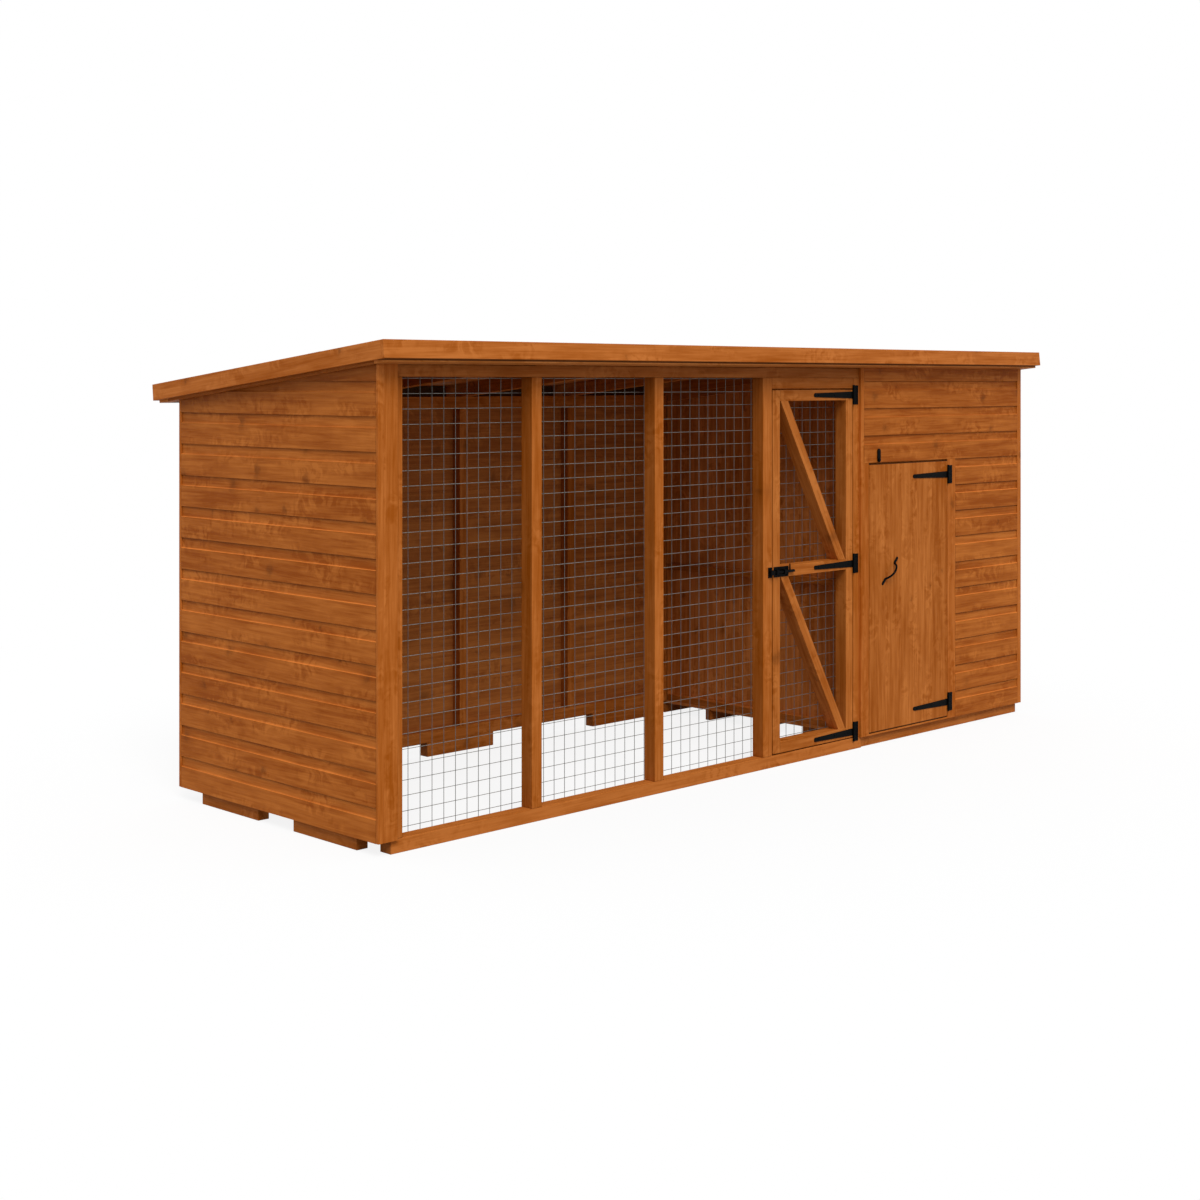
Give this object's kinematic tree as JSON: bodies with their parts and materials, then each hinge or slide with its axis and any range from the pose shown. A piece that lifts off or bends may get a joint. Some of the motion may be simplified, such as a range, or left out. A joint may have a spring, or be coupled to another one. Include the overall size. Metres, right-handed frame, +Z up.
{
  "type": "pet house with run",
  "caption": "Timber kennel and mesh-fronted run under one pent roof, with hinged run and kennel doors, a sliding bolt, a turn button and shiplap walls.",
  "frame": {"origin": "on the ground under the middle of the roof's outline", "axes": "+X along the front from the run to the kennel, +Y from the front to the back, +Z up"},
  "size_m": [3.74, 1.3702, 1.6343],
  "materials": {
    "cladding": "stained softwood",
    "framing": "planed, stained",
    "trim": "planed, stained",
    "boarding": "stained softwood",
    "door_timber": "planed, stained",
    "wire_mesh": "galvanised",
    "black_iron": "satin black",
    "felt": "mineral felt"
  },
  "bodies": {
    "enclosure": {"left_wall_boards": "cladding", "run_back_boards": "cladding", "kennel_back_boards": "cladding", "right_wall_boards": "cladding", "kennel_front_boards_top": "cladding", "kennel_front_boards_side": "cladding", "front_sill": "framing", "end_post": "framing", "bay_post_left": "framing", "bay_post_right": "framing", "latch_post": "framing", "hinge_post": "framing", "run_top_rail": "framing", "door_head": "framing", "left_wall_frame": "framing", "run_back_frame": "framing", "kennel_back_frame": "framing", "right_wall_frame": "framing", "kennel_front_frame": "framing", "wall_feet": "framing", "floor_bearers": "framing", "partition_frame": "framing", "rafters": "framing", "eaves_rails": "framing", "front_cover_strips": "trim", "front_corner_board": "trim", "back_cover_strips": "trim", "front_fascia": "trim", "back_fascia": "trim", "left_bargeboard": "trim", "right_bargeboard": "trim", "door_jambs": "trim", "door_threshold": "trim", "partition_boards": "boarding", "kennel_floor": "boarding", "roof_deck": "boarding", "mesh_bay_left": "wire_mesh", "mesh_bay_middle": "wire_mesh", "mesh_bay_right": "wire_mesh", "hinge_plates": "black_iron", "hinge_pins": "black_iron", "bolt_keep": "black_iron", "turn_screw": "black_iron", "frame_screws": "black_iron", "roof_felt": "felt"},
    "run_door": {"run_door_stiles": "door_timber", "run_door_rails": "door_timber", "run_door_braces": "door_timber", "run_door_mesh": "wire_mesh", "run_hinge_straps": "black_iron", "bolt_plate": "black_iron", "run_door_screws": "black_iron"},
    "bolt": {"bolt_rod": "black_iron"},
    "kennel_door": {"kennel_door_boards": "door_timber", "kennel_door_ledges": "door_timber", "kennel_hinge_straps": "black_iron", "pull_handle": "black_iron", "kennel_door_screws": "black_iron"},
    "turn_button": {"turn_button": "black_iron"}
  },
  "joints": [
    {"name": "run_door_swing", "type": "hinge", "parent": "enclosure", "child": "run_door", "pos_m": [0.5985, -0.60599, 0.76], "axis": [0, 0, 1], "range_deg": [0, 120]},
    {"name": "bolt_slide", "type": "slide", "parent": "run_door", "child": "bolt", "axis": [-1, 0, 0], "range_m": [0, 0.021]},
    {"name": "kennel_door_swing", "type": "hinge", "parent": "enclosure", "child": "kennel_door", "pos_m": [1.24675, -0.61799, 0.609], "axis": [0, 0, 1], "range_deg": [0, 150]},
    {"name": "turn_button_turn", "type": "hinge", "parent": "enclosure", "child": "turn_button", "pos_m": [0.753, -0.61749, 1.178], "axis": [0, 1, 0], "range_deg": [0, 180]}
  ]
}
